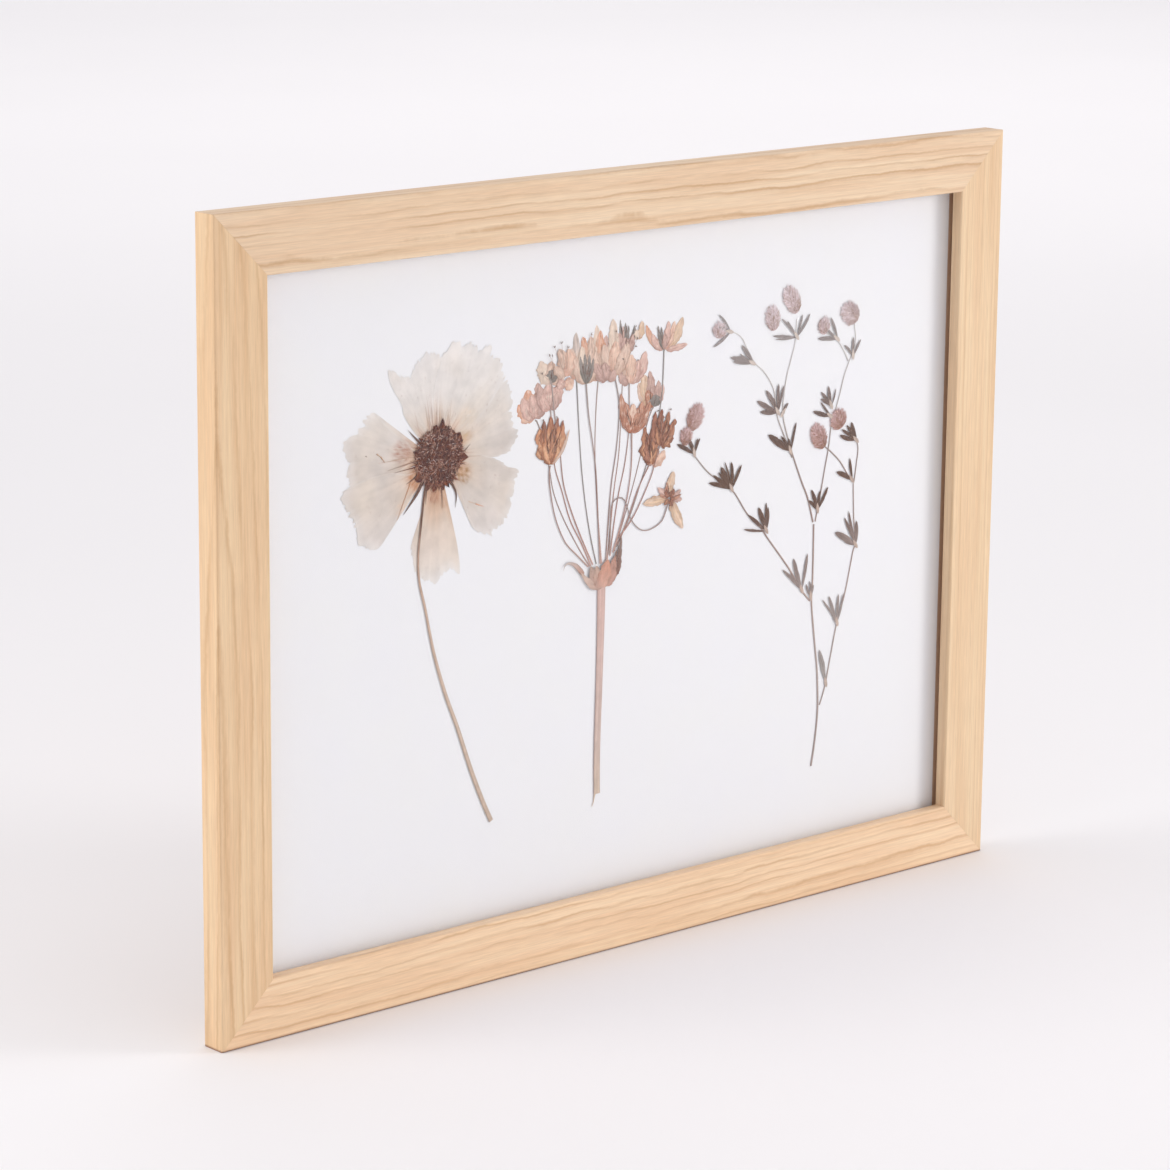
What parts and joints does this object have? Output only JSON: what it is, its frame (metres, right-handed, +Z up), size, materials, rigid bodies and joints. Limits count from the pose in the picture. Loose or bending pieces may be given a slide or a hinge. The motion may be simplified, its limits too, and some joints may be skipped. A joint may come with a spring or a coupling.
{
  "type": "pressed flower frame",
  "caption": "Upright picture frame in pale mitred pine with pressed dried wild flowers on a white card behind glass.",
  "frame": {"origin": "middle of the underside of the bottom rail, half way through its depth", "axes": "+X runs to the right seen from the front, the front faces -Y, +Z is up"},
  "size_m": [0.43, 0.012, 0.33],
  "materials": {
    "pine": "planed and clear lacquered, fine grain lines",
    "clear_glass": "float glass, polished",
    "white_card": "smooth matt white card",
    "hardboard": "pressed hardboard, screen texture",
    "zinc_steel": "zinc-plated spring steel",
    "brassed_steel": "brass-plated pressed steel",
    "cream_petal": "dry papery petal with fine veins",
    "brown_stamens": "dry pollen-dusted stamens",
    "dry_stem": "dry ribbed stem",
    "pink_stem": "dry ribbed stem, dusty pink",
    "orange_bract": "dry papery bract",
    "tan_blossom": "dry papery petals, tan to brown",
    "brown_stalk": "dry thin stalks and leaflets",
    "mauve_head": "soft downy flower head"
  },
  "bodies": {
    "root": {"rail_bottom": "pine", "rail_top": "pine", "rail_left": "pine", "rail_right": "pine", "board_tab_1": "zinc_steel", "board_tab_2": "zinc_steel", "board_tab_3": "zinc_steel", "board_tab_4": "zinc_steel", "board_tab_5": "zinc_steel", "board_tab_6": "zinc_steel", "glass_pane": "clear_glass", "mount_card": "white_card", "backing_board": "hardboard", "hanger_plate": "brassed_steel", "hanger_pin_left": "brassed_steel", "hanger_pin_right": "brassed_steel", "petal_upper_left": "cream_petal", "petal_top": "cream_petal", "petal_right": "cream_petal", "petal_lower_right": "cream_petal", "petal_bottom": "cream_petal", "petal_lower_left": "cream_petal", "petal_left": "cream_petal", "flower_boss": "brown_stamens", "flower_stem": "dry_stem", "umbel_stem": "pink_stem", "bract_cup": "orange_bract", "bract_long": "orange_bract", "umbel_ray_1": "tan_blossom", "umbel_ray_2": "tan_blossom", "umbel_ray_3": "tan_blossom", "umbel_ray_4": "tan_blossom", "umbel_ray_5": "tan_blossom", "umbel_ray_6": "tan_blossom", "umbel_ray_7": "tan_blossom", "umbel_ray_8": "tan_blossom", "umbel_ray_9": "tan_blossom", "umbel_ray_10": "tan_blossom", "umbel_ray_11": "tan_blossom", "umbel_ray_12": "tan_blossom", "umbel_ray_13": "tan_blossom", "umbel_ray_14": "tan_blossom", "umbel_ray_15": "tan_blossom", "umbel_ray_16": "tan_blossom", "sprig_main_stem": "brown_stalk", "sprig_right_stem": "brown_stalk", "sprig_right_tip": "brown_stalk", "sprig_left_stem": "brown_stalk", "sprig_middle_stem": "brown_stalk", "sprig_middle_left_stem": "brown_stalk", "sprig_middle_right_stem": "brown_stalk", "clover_head_1": "mauve_head", "clover_head_2": "mauve_head", "clover_head_3": "mauve_head", "clover_head_4": "mauve_head", "clover_head_5": "mauve_head", "clover_head_6": "mauve_head", "clover_head_7": "mauve_head", "clover_head_8": "mauve_head", "clover_head_9": "mauve_head"}
  },
  "joints": []
}
